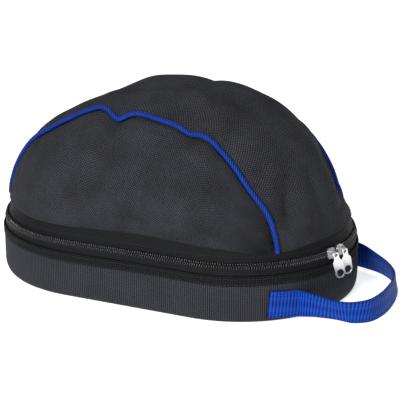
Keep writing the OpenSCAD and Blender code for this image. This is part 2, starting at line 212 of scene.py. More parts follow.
# 600-denier polyester pack cloth, coated behind: matt charcoal; the weave's light threads are painted
# highlights on the yarn, and its strong soft patches are painted light and shade of folds. Its threads are
# 0.5 mm, drawn at 1.8 mm so that they show.
PACK_CLOTH = woven("woven_polyester_pack_cloth", "#010101", "#3b3c43", 1.8, 0.55, turn=0.785, shade=0.3,
                   **{"Specular IOR Level": 0.14})
# The same cloth cut across for the band, with its threads upright, drawn at 1.9 mm.
BAND_CLOTH = woven("woven_polyester_band_cloth", "#050607", "#393b42", 1.9, 0.45, shade=0.2,
                   weft_share=0.45, **{"Specular IOR Level": 0.14})
# Hem cloth, folded twice and pressed flat: darker and smoother than the panels.
HEM_CLOTH = woven("pressed_polyester_hem_cloth", "#020203", "#1c1d21", 2.0, 0.4, shade=0.15,
                  **{"Specular IOR Level": 0.1})
# Nylon taffeta lining: thin and slightly shiny.
LINING = woven("nylon_taffeta_lining", "#131417", "#2a2b30", 0.9, 0.05, rough=(0.38, 0.5),
               **{"Sheen Weight": 0.1, "Specular IOR Level": 0.5})
# Polyester grosgrain binding: matt, with ribs across the tape at 1 mm.
BINDING = ribbed("polyester_grosgrain_binding", "#101114", "#2b2c30", 1.0, 0.15)
# Woven polyester zip tape: close lengthways ribs of 0.9 mm, drawn at 1.8 mm.
ZIP_TAPE = ribbed("woven_polyester_zip_tape", "#010101", "#17181b", 1.8, 0.3, across=True,
                  **{"Specular IOR Level": 0.12})
# Nylon monofilament coil: dyed through, smooth and glossy.
COIL = grained("nylon_monofilament_coil", "#060607", "#17181a", 0.8, 0.02, (0.2, 0.32),
               **{"IOR": 1.53})
# Polypropylene webbing: bright royal blue, plump weft ribs of 3.2 mm, with painted shade darkening the gaps
# between the ribs.
WEBBING = ribbed("polypropylene_webbing", "#011044", "#144ab4", 3.2, 0.8, rough=(0.42, 0.55),
                 yarn_mm=1.6, yarn_share=0.25, **{"Specular IOR Level": 0.06})
# Knitted polyester cover of the piping cord: royal blue, slanting stitches of 0.9 mm, drawn at 1.5 mm.
PIPING = spun("knitted_polyester_piping", "#010f42", "#103c9e", 1.5, 0.3,
              **{"Specular IOR Level": 0.12})
# Bonded polyester sewing thread, black and blue: smooth, with a slight shine.
THREAD = grained("bonded_polyester_thread_black", "#0a0b0c", "#212226", 0.4, 0.05, (0.5, 0.65))
BLUE_THREAD = grained("bonded_polyester_thread_blue", "#04206e", "#1850c8", 0.4, 0.05, (0.5, 0.65))
# Nickel-plated die-cast zinc: bright, with a faint orange-peel from tumbling.
PLATED_ZINC = grained("nickel_plated_zinc", "#c4c5c7", "#ececed", 1.6, 0.03, (0.2, 0.34),
                      Metallic=1.0)
# Closed-cell polyethylene foam: charcoal, with 1 mm cells.
FOAM = grained("polyethylene_foam", "#121315", "#232427", 1.0, 0.15, (0.75, 0.9))
# Pressed fibre board: dull brown-grey with short fibres.
BOARD = grained("pressed_fibre_board", "#4f4a44", "#716a61", 1.5, 0.05, (0.7, 0.85))


# ---- Meshes ------------------------------------------------------------------------------

def finish_piece(name, bm, material, slot, body=None, replaces=(), thickness=0.0, grow=0.0, soften=0,
                 flat=False, padded=0.0):
    """Makes the piece's object from its bmesh, thickens and softens it, and puts it in the frame."""
    mesh = bpy.data.meshes.new(name)
    bm.to_mesh(mesh)
    bm.free()
    mesh.materials.append(material)
    if not flat:
        mesh.shade_smooth()
    piece = bpy.data.objects.new(name, mesh)
    bpy.context.scene.collection.objects.link(piece)
    if thickness:
        wall = piece.modifiers.new("thickness", "SOLIDIFY")
        wall.thickness = thickness
        wall.offset = grow
        wall.use_even_offset = False
    if soften:
        smooth = piece.modifiers.new("soften", "SUBSURF")
        smooth.levels = smooth.render_levels = soften
    if body:
        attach(piece, body)
    if replaces:
        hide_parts(*replaces)
    return piece


def sheet(columns, rows, size, place, close_u=False, close_v=False):
    """A grid laid over place(u, v), with u and v from 0 to 1, and a UV map of its real size in metres."""
    bm = bmesh.new()
    bm.loops.layers.uv.new("cloth")
    bmesh.ops.create_grid(bm, x_segments=columns, y_segments=rows, size=0.5, calc_uvs=True)
    layer = bm.loops.layers.uv.active
    for face in bm.faces:
        for loop in face.loops:
            loop[layer].uv = ((loop.vert.co.x + 0.5) * size[0], (loop.vert.co.y + 0.5) * size[1])
    for vert in bm.verts:
        vert.co = place(min(1.0, max(0.0, vert.co.x + 0.5)), min(1.0, max(0.0, vert.co.y + 0.5)))
    bmesh.ops.remove_doubles(bm, verts=bm.verts, dist=0.02 * MM)
    bmesh.ops.dissolve_degenerate(bm, edges=bm.edges, dist=0.01 * MM)
    if close_u and close_v:
        bmesh.ops.recalc_face_normals(bm, faces=bm.faces)
    return bm


def face_out(bm, centre):
    """Turns an open sheet so that its faces look away from centre."""
    total = sum(((f.calc_center_median() - centre).dot(f.normal) * f.calc_area() for f in bm.faces), 0.0)
    if total < 0:
        bmesh.ops.reverse_faces(bm, faces=bm.faces)
    return bm


def ripple(point, size_mm, seed=0.0):
    """Smooth noise from -1 to 1 that changes over size_mm."""
    return noise.noise(Vector((point[0] + seed, point[1] - seed, point[2] + 0.37 * seed)) / (size_mm * MM))


# ---- The oval ----------------------------------------------------------------------------

OVAL_R = 110 * MM
OVAL_LENGTH = 4 * STRAIGHT + 2 * math.pi * OVAL_R


def oval_station(share):
    """Centre and outward direction of the oval at a share of its length, from the hinge by the near side."""
    s = (share % 1.0) * OVAL_LENGTH
    quarter = OVAL_R * math.pi / 2
    for length, centre, a0, turn in (
            (quarter, -STRAIGHT, math.pi, 1), (2 * STRAIGHT, None, 1.5 * math.pi, 0),
            (2 * quarter, STRAIGHT, -math.pi / 2, 1), (2 * STRAIGHT, None, math.pi / 2, 0),
            (quarter, -STRAIGHT, math.pi / 2, 1)):
        if s <= length + 1e-9:
            angle = a0 + turn * s / OVAL_R
            if centre is None:
                x = -STRAIGHT + s if a0 > 3 else STRAIGHT - s
            else:
                x = centre
            return x, math.cos(angle), math.sin(angle)
        s -= length
    return -STRAIGHT, -1.0, 0.0


def on_oval(share, r, z):
    """Point at radius r and height z at a share of the oval."""
    x, nx, ny = oval_station(share)
    return Vector((x + nx * r, ny * r, z))


HINGE_SHARE = HINGE_ARC * OVAL_R / OVAL_LENGTH


def along(points, t):
    """Point at share t of the length of a polyline of 2-D points."""
    steps = [math.dist(p, q) for p, q in zip(points, points[1:])]
    left = t * sum(steps)
    for p, q, d in zip(points, points[1:], steps):
        if left <= d or q is points[-1]:
            k = min(1.0, left / d) if d else 0.0
            return p[0] + (q[0] - p[0]) * k, p[1] + (q[1] - p[1]) * k
        left -= d
    return points[-1]


def ring(name, section, columns, rows, material, slot, shape=None, start=0.0, end=1.0, **options):
    """A cloth ring whose height profile, in (radius, height), runs round the oval from start to end."""
    length = sum(math.dist(p, q) for p, q in zip(section, section[1:]))

    def place(u, v):
        share = start + (end - start) * u
        r, z = along(section, v)
        if shape:
            r, z = shape(share, v, r, z)
        return on_oval(share, r, z)

    bm = sheet(columns, rows, (OVAL_LENGTH * (end - start), length), place)
    face_out(bm, Vector((0, 0, 0.04)))
    return finish_piece(name, bm, material, slot, **options)


def zip_wall(u, w):
    """Radius and height at u up the leaning zip wall and w outwards from it."""
    return (ZIP_R + w * math.cos(ZIP_LEAN) - u * math.sin(ZIP_LEAN),
            ZIP_Z + w * math.sin(ZIP_LEAN) + u * math.cos(ZIP_LEAN))


# ---- Cloth simulation --------------------------------------------------------------------

def billow(bm, free, pressure, ease, cap, stiff=6.0, bend=0.6):
    """Lets a panel swell and crease as sewn cloth does: its edge is pinned and the cloth is cut larger
    by ease. free(vert) is 0 on the edge and 1 in the middle; no point moves further than cap."""
    mesh = bpy.data.meshes.new("cloth_sim")
    bm.to_mesh(mesh)
    panel = bpy.data.objects.new("cloth_sim", mesh)
    bpy.context.scene.collection.objects.link(panel)
    pins = panel.vertex_groups.new(name="pins")
    for vert in bm.verts:
        pins.add([vert.index], 1.0 - free(vert), "REPLACE")
    cloth = panel.modifiers.new("cloth", "CLOTH")
    cloth.settings.quality = 5
    cloth.settings.mass = 0.3
    cloth.settings.tension_stiffness = cloth.settings.compression_stiffness = stiff
    cloth.settings.shear_stiffness = stiff
    cloth.settings.bending_stiffness = bend
    cloth.settings.vertex_group_mass = "pins"
    cloth.settings.shrink_min = -ease
    cloth.settings.use_pressure = True
    cloth.settings.uniform_pressure_force = pressure
    cloth.settings.effector_weights.gravity = 0
    cloth.point_cache.frame_start, cloth.point_cache.frame_end = 1, 20
    scene = bpy.context.scene
    for step in range(1, 21):
        scene.frame_set(step)
    result = panel.evaluated_get(bpy.context.evaluated_depsgraph_get()).data
    bm.verts.ensure_lookup_table()
    for vert in bm.verts:
        move = result.vertices[vert.index].co - vert.co
        if move.length > cap:
            move *= cap / move.length
        vert.co += move * free(vert) ** 0.5
    scene.frame_set(1)
    bpy.data.objects.remove(panel)
    bpy.data.meshes.remove(mesh)
    return bm


# ---- Dome --------------------------------------------------------------------------------

def oval_rho(a, r):
    """Distance from the middle to an oval outline of end radius r, in direction a."""
    if r * abs(math.cos(a)) <= STRAIGHT * abs(math.sin(a)):
        return r / abs(math.sin(a))
    return STRAIGHT * abs(math.cos(a)) + math.sqrt(r * r - (STRAIGHT * math.sin(a)) ** 2)


def dome_point(x, y, t):
    """The dome over plan point (x, y) of its outer outline, moved inwards by t."""
    a = math.atan2(y, x)
    g = min(1.0, math.hypot(x, y) / oval_rho(a, DOME_R))
    m = DOME_FULL - FULL_TILT * math.cos(a)
    h = max(0.0, 1 - g ** m) ** (1 / m)
    r = g * oval_rho(a, DOME_R - t)
    return Vector((r * math.cos(a) + DOME_LEAN * h * h, r * math.sin(a), DOME_Z + (DOME_H - t) * h))


def seam_at(x, side=1):
    """Distance of a seam from the middle. The near one is sewn less evenly than the far one."""
    near = 8.5 * math.exp(-((x + 0.042) / 0.013) ** 2) + 6 * math.exp(-((x - 0.1) / 0.032) ** 2)
    near += 1.2 * math.exp(-((x - 0.034) / 0.014) ** 2) + 4 * math.exp(-((x + 0.112) / 0.028) ** 2)
    far = 2.5 * math.exp(-((x + 0.03) / 0.03) ** 2) - 4.0 * math.exp(-((x - 0.125) / 0.035) ** 2)
    return SEAM_Y + SEAM_SPREAD * x + (near if side < 0 else far) * MM


def seam_foot(end, scale, off, side=1):
    """X where the line y = scale * (seam + off) meets the dome's outline at the given end."""
    lo, hi = 0.0, end * (STRAIGHT + DOME_R)
    for _ in range(40):
        x = (lo + hi) / 2
        y = scale * (seam_at(x, side) + off)
        if math.hypot(x, y) > oval_rho(math.atan2(y, x), DOME_R):
            hi = x
        else:
            lo = x
    return lo


def rim_wave(x, side):
    """How far the dome's bottom edge rides up or down, as the sewn cloth pulls."""
    return side * MM * (3.0 * math.exp(-((x - 0.01) / 0.05) ** 2)
                        - 5.6 * math.exp(-((x - 0.127) / 0.024) ** 2))


# Creases pressed into the dome where its seams pull: plan ends, half width and depth in mm.
CREASES = [
    (-47, -66, -34, -40, 8, -5.4), (-62, -58, -58, -34, 9, 2.7), (-30, -62, -14, -44, 8, 2.4),
    (34, -68, 24, -40, 7, -4.8), (46, -68, 52, -44, 8, 2.4), (16, -64, 6, -44, 7, 1.8),
    (-117, -52, -104, -30, 8, -2.7), (74, -72, 88, -50, 8, -3), (104, -78, 92, -96, 9, -2.7),
    (-47, -68, -52, -86, 7, -3), (34, -70, 30, -88, 7, -2.7), (-98, -56, -90, -80, 9, -2.1),
    (-30, 62, -22, 40, 8, -3.6), (60, 66, 66, 42, 8, -3), (100, 70, 110, 46, 9, 2.1),
    (-112, 4, -56, 10, 26, -7), (-40, -68, -10, -86, 6, -4.2), (-46, -70, -38, -92, 6, 2.7),
    (66, -70, 70, -50, 5, -4.2), (4, -8, 36, -30, 7, -3.9), (36, -30, 66, -14, 7, -3.3),
    (8, -24, 60, -38, 7, 2.4), (122, -76, 114, -56, 6, 3.9), (136, -64, 126, -48, 5, -4.5),
    (147, -50, 132, -38, 6, 3.6), (154, -32, 136, -26, 6, -3.6), (-76, -102, -70, -90, 5, -3.6),
    (54, -94, 28, -100, 12, 3.3), (14, -86, 0, -102, 9, -3.3), (-34, -92, -62, -98, 11, -3),
    (-30, -34, 44, -30, 7, 2), (-28, -20, 60, -14, 12, -2.4), (40, -18, 118, -24, 13, -1.8),
    (20, 22, 96, 30, 15, -1.4), (96, -52, 122, -40, 12, 2.1), (112, -66, 124, -58, 10, -2.4),
    (-84, 40, -30, 46, 12, -2.1), (24, 12, 10, 12, 30, 1.6), (70, 26, 44, 22, 24, 2),
    (156, 46, 122, 38, 26, -13.5), (152, 16, 136, 30, 24, -4), (-48, 16, -18, 14, 17, 3.5),
    (12, 44, 36, 44, 11, 1.5), (4, -12, -40, -22, 5, -2.8), (-40, -22, -84, -40, 5, -3.2),
    (-36, -10, -80, -26, 5, 2.2), (146, 60, 112, 62, 14, -3),
]


def crease_depth(x, y):
    """How far all the creases together push the cloth out at a plan point."""
    total = 0.0
    for x0, y0, x1, y1, width, depth in CREASES:
        a, b = Vector((x0, y0)) * MM, Vector((x1, y1)) * MM
        d = b - a
        t = min(1.0, max(0.0, (Vector((x, y)) - a).dot(d) / d.length_squared))
        gap = (Vector((x, y)) - (a + t * d)).length / (width * MM)
        total += depth * MM * math.exp(-gap * gap) * (1 - 0.6 * t)
    return total


def dome_cloth_point(x, y, t=0.0, edge=1.0, wavy=True):
    """The dome's cloth over a plan point: the true dome with its creases, slack and wavy bottom edge.
    edge is 0 on a seam and 1 away from it."""
    p = dome_point(x, y, t)
    out = (p - dome_point(x, y, t + 2 * MM)).normalized()
    low = max(0.0, 1 - (p.z - DOME_Z) / (40 * MM))
    slack = 1.6 * MM * ripple(p, 50, 3.1) + 0.9 * MM * ripple(p, 20, 7.7)
    fade = min(1.0, (p.z - DOME_Z) / (18 * MM)) ** 2
    p += out * ((crease_depth(x, y) - 1.7 * MM) * fade + slack * (1 - 0.8 * low)) * (0.45 + 0.55 * edge)
    if wavy:
        p.z += rim_wave(x, 1.0 if y < 0 else 0.5) * low ** 2
    return p


def seam_puff(distance):
    """How the cloth dips into a piped seam and puffs up beside it, from the distance to the seam."""
    d = distance / MM
    return MM * (1.0 * math.exp(-((d - 9) / 5) ** 2) - 1.3 * math.exp(-(d / 2.2) ** 2))


def panel_sheet(columns, rows, plan, size):
    """A dome panel over plan(u, v), which gives x, y and the distance to the nearest seam."""
    def place(u, v):
        x, y, gap = plan(u, v)
        p = dome_cloth_point(x, y, 0.0, min(1.0, gap / (12 * MM)))
        out = (dome_point(x, y, 0) - dome_point(x, y, 2 * MM)).normalized()
        return p + out * seam_puff(gap)

    bm = sheet(columns, rows, size, place)
    return face_out(bm, Vector((0, 0, 0.06)))


def side_plan(side, off):
    """Plan of a D-shaped side panel: u runs along the seam, v from the seam to the outline."""
    x0, x1 = seam_foot(-1, 1.0, off, side), seam_foot(1, 1.0, off, side)
    a0 = math.atan2(seam_at(x0, side) + off, x0)
    a1 = math.atan2(seam_at(x1, side) + off, x1)

    def plan(u, v):
        c = (1 - math.cos(math.pi * u)) / 2
        sx = x0 + (x1 - x0) * c
        sy = seam_at(sx, side) + off
        a = a0 + (a1 - a0) * (0.5 * u + 0.5 * c)
        rho = oval_rho(a, DOME_R)
        k = math.sin(math.pi / 2 * v)
        x, y = sx + (rho * math.cos(a) - sx) * k, sy + (rho * math.sin(a) - sy) * k
        return x, side * y, abs(y - seam_at(x, side)) - off + 0.4 * MM

    return plan


def centre_plan(u, v):
    """Plan of the centre panel: u runs from the hinge end to the handle end, v across."""
    w = 2 * v - 1
    side = 1 if w > 0 else -1
    off = -SEAM_GAP
    x0, x1 = seam_foot(-1, abs(w), off, side), seam_foot(1, abs(w), off, side)
    x = x0 + (x1 - x0) * (1 - math.cos(math.pi * u)) / 2
    y = w * (seam_at(x, side) + off)
    return x, y, abs(abs(y) - seam_at(x, side)) + off + 0.4 * MM


def inner_share(bm, depth):
    """How far each point is from the sheet's edge, from 0 there to 1 at depth."""
    edge = [v for v in bm.verts if v.is_boundary]
    reach = {v: 0.0 for v in edge}
    front = edge
    while front:
        nxt = []
        for v in front:
            for e in v.link_edges:
                w = e.other_vert(v)
                d = reach[v] + e.calc_length()
                if d < depth and d < reach.get(w, 1e9) - 1e-6:
                    reach[w] = d
                    nxt.append(w)
        front = nxt
    return lambda v: min(1.0, reach.get(v, depth) / depth)


def make_panel(name, bm, replaces):
    """Swells a dome panel, smooths it once and makes it a piece of the lid, thickened to the cloth's
    thickness.
    """
    billow(bm, inner_share(bm, 14 * MM), pressure=1.6, ease=0.02, cap=3.0 * MM)
    bmesh.ops.smooth_vert(bm, verts=[v for v in bm.verts if not v.is_boundary], factor=0.35,
                          use_axis_x=True, use_axis_y=True, use_axis_z=True)
    piece = finish_piece(name, bm, PACK_CLOTH, "outer_cloth", "lid", replaces, thickness=CLOTH,
                         grow=-1, soften=1)
    return piece


for side, word in ((-1, "near"), (1, "far")):
    make_panel("side_cloth_" + word, panel_sheet(84, 40, side_plan(side, SEAM_GAP), (0.36, 0.12)),
               ["side_panel_" + word])
make_panel("centre_cloth", panel_sheet(112, 60, centre_plan, (0.42, 0.16)), ["centre_panel"])


# ---- Piping ------------------------------------------------------------------------------

def seam_curve(side, steps, t):
    """Points along a dome seam at depth t, from the hinge end to the handle end."""
    x0, x1 = seam_foot(-1, 1.0, 0, side), seam_foot(1, 1.0, 0, side)
    points = []
    for k in range(steps + 1):
        x = (x0 + x1) / 2 - (x1 - x0) / 2 * math.cos(math.pi * k / steps)
        points.append(dome_cloth_point(x, side * seam_at(x, side), t, 0.0))
    return points


def resample(points, count):
    """The same curve in equal steps."""
    reach = [0.0]
    for p, q in zip(points, points[1:]):
        reach.append(reach[-1] + (q - p).length)
    out, j = [], 0
    for k in range(count + 1):
        d = reach[-1] * k / count
        while j < len(points) - 2 and reach[j + 1] < d:
            j += 1
        out.append(points[j].lerp(points[j + 1], (d - reach[j]) / max(1e-9, reach[j + 1] - reach[j])))
    return out, reach[-1]


def cord_along(points, length, radius, sides, up_of, ribs=0.0, pitch=1.0, taper=0.0):
    """A round cord along the points, its ends drawn in and closed."""
    count = len(points) - 1

    def place(u, v):
        k = round(u * count)
        p = points[k]
        tangent = (points[min(count, k + 1)] - points[max(0, k - 1)]).normalized()
        up = up_of(p)
        across = tangent.cross(up).normalized()
        up = across.cross(tangent).normalized()
        a = 2 * math.pi * v
        left = min(u, 1 - u) * length
        end = math.sqrt(max(0.0, 1 - max(0.0, 1 - left / taper) ** 2)) if taper else 1.0
        r = radius * end * (1 + ribs * math.cos(2 * a + 2 * math.pi * u * length / pitch))
        return p + across * (r * math.cos(a)) + up * (r * math.sin(a))

    bm = sheet(count + 1, sides + 1, (length, 2 * math.pi * radius), place, close_u=True, close_v=True)
    return bm


def dome_out(p):
    """Roughly outwards from the dome at p."""
    return Vector((p.x * 0.45, p.y, (p.z - 0.05) * 1.3)).normalized()


for side, word in ((-1, "near"), (1, "far")):
    line, length = resample(seam_curve(side, 120, -0.9 * MM), 420)
    bm = cord_along(line, length, PIPING_R * 1.15, 12, dome_out, ribs=0.035, pitch=2.4 * MM, taper=2 * MM)
    finish_piece("piping_cord_" + word, bm, PIPING, "blue_piping", "lid", ["piping_" + word])


# ---- Dome inside -------------------------------------------------------------------------

def whole_dome(t, columns, rows, sag, seed):
    """A layer under the dome's cloth at depth t, level at the mouth, that sags between the seams."""
    def place(u, v):
        a = 2 * math.pi * u
        g = math.sin(math.pi / 2 * v) * (1 - (MOUTH_RISE / DOME_H) ** 1.88) ** (1 / 1.88)
        rho = g * oval_rho(a, DOME_R)
        x, y = rho * math.cos(a), rho * math.sin(a)
        p = dome_cloth_point(x, y, t, wavy=False)
        out = (dome_point(x, y, t) - dome_point(x, y, t + 2 * MM)).normalized()
        gap = abs(abs(y) - seam_at(x, 1 if y > 0 else -1)) / MM
        dip = sag * (0.5 + 0.5 * ripple(p, 38, seed)) * min(1.0, (1 - g) * 12)
        return p - out * (dip - 0.25 * sag * math.exp(-(gap / 5) ** 2))

    bm = sheet(columns, rows, (0.9, 0.2), place)
    return face_out(bm, Vector((0, 0, 0.06)))


MOUTH_RISE = 7.2 * MM
FOAM_DEPTH = CLOTH + TAPE_T + 0.8 * MM
LINING_DEPTH = FOAM_DEPTH + 3.1 * MM
finish_piece("dome_foam", whole_dome(FOAM_DEPTH, 121, 28, 0.0, 0), FOAM, "pad_foam", "lid",
             ["dome_pad"], thickness=2.4 * MM, grow=-1, padded=0.8)
finish_piece("dome_lining_cloth", whole_dome(LINING_DEPTH, 145, 40, 1.4 * MM, 5.5), LINING,
                      "lining_cloth", "lid", ["dome_lining"], thickness=0.8 * MM, grow=-1, soften=1)


# ---- Band and base -----------------------------------------------------------------------

def band_shape(share, v, r, z):
    """The band's soft stand: it bellies a little between hem and foot and wanders round the bag."""
    p = on_oval(share, r, z)
    belly = math.sin(math.pi * min(1.0, z / (BAND_H - HEM_H))) if z < BAND_H - HEM_H else 0.0
    r += belly * (0.5 * MM + 0.7 * MM * ripple(p, 60, 1.7)) + 0.25 * MM * ripple(p, 20, 9.1) * belly
    z += 0.8 * MM * ripple(p, 70, 4.2) * max(0.0, z / BAND_H) ** 3
    return r, z


foot = [(BAND_R - FOOT_TUCK - CLOTH - 4 * MM, 0.35 * MM), (BAND_R - FOOT_TUCK - 1.0 * MM, 0.35 * MM),
        (BAND_R - 2.0 * MM, 1.2 * MM), (BAND_R - 0.8 * MM, 3.4 * MM), (BAND_R - 0.1 * MM, FOOT_H)]
ring("band_cloth", foot + [(BAND_R, 14 * MM), (BAND_R, BAND_H - 1.2 * MM)], 281, 22, BAND_CLOTH,
     "outer_cloth", shape=band_shape, body="root", replaces=["band_outer"],
     thickness=CLOTH, grow=-1, soften=1, padded=0.6)


def oval_pad(name, r, z, thickness, material, slot, replaces, rows=24, padded=0.0):
    """A flat oval panel from rings that shrink to the middle line."""
    def place(u, v):
        x, nx, ny = oval_station(u)
        return Vector((x + nx * r * (1 - v), ny * r * (1 - v), z))

    bm = sheet(161, rows, (OVAL_LENGTH, r), place)
    layer = bm.loops.layers.uv.active
    for face in bm.faces:
        for loop in face.loops:
            loop[layer].uv = loop.vert.co.xy
        if face.normal.z < 0:
            face.normal_flip()
    return finish_piece(name, bm, material, slot, "root", replaces, thickness=thickness, grow=-1,
                        padded=padded)


oval_pad("base_cloth", BAND_R - FOOT_TUCK - CLOTH, 1.25 * MM, 1.1 * MM, BAND_CLOTH, "outer_cloth",
         ["base_panel"])
oval_pad("base_foam", 107.0 * MM, 6.8 * MM, 3.0 * MM, FOAM, "pad_foam", ["base_pad"],
         padded=0.8)
oval_pad("base_lining_cloth", 107.3 * MM, INSIDE_Z - 0.1 * MM, 0.8 * MM, LINING, "lining_cloth",
         ["base_lining"])

ring("band_foam", [(110.1 * MM, INSIDE_Z), (110.1 * MM, BAND_H - HEM_H)], 241, 5, FOAM, "pad_foam",
     body="root", replaces=["band_pad"], thickness=2.9 * MM, grow=-1, padded=0.8)


def lining_shape(share, v, r, z):
    p = on_oval(share, r, z)
    return r - 0.6 * MM * (0.5 + 0.5 * ripple(p, 26, 2.2)) * math.sin(math.pi * v), z


ring("band_lining_cloth", [(107.0 * MM, INSIDE_Z), (107.0 * MM, BAND_H - 1 * MM)], 281, 10, LINING,
     "lining_cloth", shape=lining_shape, body="root", replaces=["band_lining"], thickness=0.7 * MM,
     grow=-1, soften=1)

# Bound seams inside: a folded grosgrain tape standing on the seam.
ring("base_binding_tape", [(105.0 * MM, INSIDE_Z + 0.1 * MM), (104.9 * MM, INSIDE_Z + 7.6 * MM),
                           (105.6 * MM, INSIDE_Z + 8 * MM), (106.2 * MM, INSIDE_Z + 7.6 * MM),
                           (106.2 * MM, INSIDE_Z + 0.1 * MM)],
     281, 14, BINDING, "binding_tape", body="root", replaces=["base_binding"])
MOUTH_R = UPPER_TAPE_R - TAPE_T / 2 - 1.6 * MM
ring("dome_binding_tape", [(MOUTH_R - 0.1 * MM, DOME_Z + 5.6 * MM), (MOUTH_R, DOME_Z + 0.3 * MM),
                           (MOUTH_R - 0.6 * MM, DOME_Z - 0.1 * MM), (MOUTH_R - 1.2 * MM, DOME_Z + 0.3 * MM),
                           (MOUTH_R - 1.1 * MM, DOME_Z + 5.6 * MM)],
     281, 14, BINDING, "binding_tape", body="lid", replaces=["dome_binding"])


# ---- Hem and zip -------------------------------------------------------------------------

def hem_shape(share, v, r, z):
    """The hem's puckers, and the slow rise and fall that it shares with the band."""
    p = on_oval(share, r, z)
    return (r + 0.25 * MM * ripple(p, 16, 8.8) * (1 if 0.1 < v < 0.9 else 0),
            z + 0.8 * MM * ripple(on_oval(share, r, BAND_H), 70, 4.2))


ring("hem_strip", [(BAND_R + 0.05 * MM, BAND_H - HEM_H), (END_R, BAND_H - HEM_H + 0.5 * MM),
                   (END_R + 0.15 * MM, BAND_H - 4.5 * MM), (END_R, BAND_H - 1.2 * MM),
                   (END_R - 0.5 * MM, BAND_H + 0.1 * MM), (END_R - 1.3 * MM, BAND_H + 0.25 * MM),
                   (BAND_R - CLOTH, BAND_H - 0.3 * MM), (BAND_R - CLOTH, BAND_H - 3 * MM)],
     421, 20, HEM_CLOTH, "hem_cloth", shape=hem_shape, body="root", replaces=["band_hem"])

lower_line = [(TAPE_ROOT_R, BAND_H - HEM_H), (TAPE_ROOT_R, BAND_H), zip_wall(-0.9 * MM, 0)]
ring("lower_tape", lower_line, 281, 12, ZIP_TAPE, "zip_tape", start=HINGE_SHARE, end=1 - HINGE_SHARE,
     body="root", replaces=["lower_zip_tape"], thickness=TAPE_T, grow=0)
TAPE_TOP = (UPPER_TAPE_R - 1.4 * MM, DOME_Z + 6 * MM)
upper_line = [zip_wall(0.9 * MM, 0), (UPPER_TAPE_R, DOME_Z), TAPE_TOP]
ring("upper_tape", upper_line, 281, 14, ZIP_TAPE, "zip_tape", start=HINGE_SHARE, end=1 - HINGE_SHARE,
     body="lid", replaces=["upper_zip_tape"], thickness=TAPE_T, grow=0)

TOOTH_PITCH = 2.2 * MM
TOOTH_SLANT = math.radians(14)


def station_frame(share, u, w, lean=ZIP_LEAN):
    """Matrix at a place on the zip: X along it, Y up it, Z out of it."""
    x, nx, ny = oval_station(share)
    r, z = (ZIP_R + w * math.cos(lean) - u * math.sin(lean), ZIP_Z + w * math.sin(lean) + u * math.cos(lean))
    out = Vector((nx * math.cos(lean), ny * math.cos(lean), math.sin(lean)))
    tangent = Vector((-ny, nx, 0))
    up = out.cross(tangent)
    m = Matrix((tangent, up, out)).transposed().to_4x4()
    m.translation = Vector((x + nx * r, ny * r, z))
    return m


def coil_row(name, side, body, replaces):
    """One row of the coil: slanting loops of monofilament, each a small rounded bar."""
    bm = bmesh.new()
    run = OVAL_LENGTH * (1 - 2 * HINGE_SHARE)
    count = int(run / TOOTH_PITCH)
    for k in range(count):
        share = HINGE_SHARE + (k + (0.5 if side > 0 else 0.0) + 0.3) * TOOTH_PITCH / OVAL_LENGTH
        place = station_frame(share, side * 1.35 * MM, TAPE_T / 2 + 1.0 * MM)
        shape = Matrix.Rotation(side * TOOTH_SLANT, 4, "Z") @ Matrix.Diagonal(
            (0.72 * MM, 2.1 * MM, 1.2 * MM, 1))
        bmesh.ops.create_uvsphere(bm, u_segments=6, v_segments=5, radius=1.0,
                                  matrix=place @ shape @ Matrix.Rotation(math.pi / 2, 4, "X"))
    finish_piece(name, bm, COIL, "zip_coil", body, replaces)


coil_row("lower_coil_loops", -1, "root", ["lower_zip_coil"])
coil_row("upper_coil_loops", 1, "lid", ["upper_zip_coil"])


# ---- Stitching ---------------------------------------------------------------------------

def stitch_row(bm, count, frame_at, length, width=0.45 * MM):
    """Lockstitches as small rounded bars, each along X of frame_at(share)."""
    for k in range(count):
        shape = Matrix.Diagonal((length / 2, width / 2, width / 2, 1))
        bmesh.ops.create_uvsphere(bm, u_segments=5, v_segments=4, radius=1.0,
                                  matrix=frame_at((k + 0.5) / count) @ shape @ Matrix.Rotation(
                                      math.pi / 2, 4, "Y"))


def wall_frame(share, r, z):
    """Matrix on an upright wall: X along it, Y up, Z out of it."""
    x, nx, ny = oval_station(share)
    tangent, out = Vector((-ny, nx, 0)), Vector((nx, ny, 0))
    m = Matrix((tangent, out.cross(tangent), out)).transposed().to_4x4()
    m.translation = Vector((x + nx * r, ny * r, z))
    return m


STITCH_PITCH = 3.4 * MM
ring_count = int(OVAL_LENGTH / STITCH_PITCH)
bm = bmesh.new()
for height in (BAND_H - 7.4 * MM, BAND_H - 2.2 * MM):
    stitch_row(bm, ring_count, lambda s, z=height: wall_frame(
        s, hem_shape(s, 0.5, END_R + 0.1 * MM, z)[0], hem_shape(s, 0.5, END_R, z)[1]), 2.5 * MM)
finish_piece("hem_stitches", bm, THREAD, "hem_cloth", "root")
bm = bmesh.new()
stitch_row(bm, ring_count, lambda s: wall_frame(
    s, UPPER_TAPE_R + 1.75 * MM, DOME_Z + 2.6 * MM + rim_wave(on_oval(s, DOME_R, 0).x,
                                                       1.0 if on_oval(s, DOME_R, 0).y < 0 else 0.5)),
    2.5 * MM)
finish_piece("dome_edge_stitches", bm, THREAD, "outer_cloth", "lid")
bm = bmesh.new()
stitch_row(bm, ring_count - 20, lambda s: station_frame(
    HINGE_SHARE + s * (1 - 2 * HINGE_SHARE), 8.0 * MM, TAPE_T / 2 + 0.1 * MM), 2.4 * MM)
finish_piece("upper_tape_stitches", bm, THREAD, "zip_tape", "lid")


# ---- Hinge cloth -------------------------------------------------------------------------

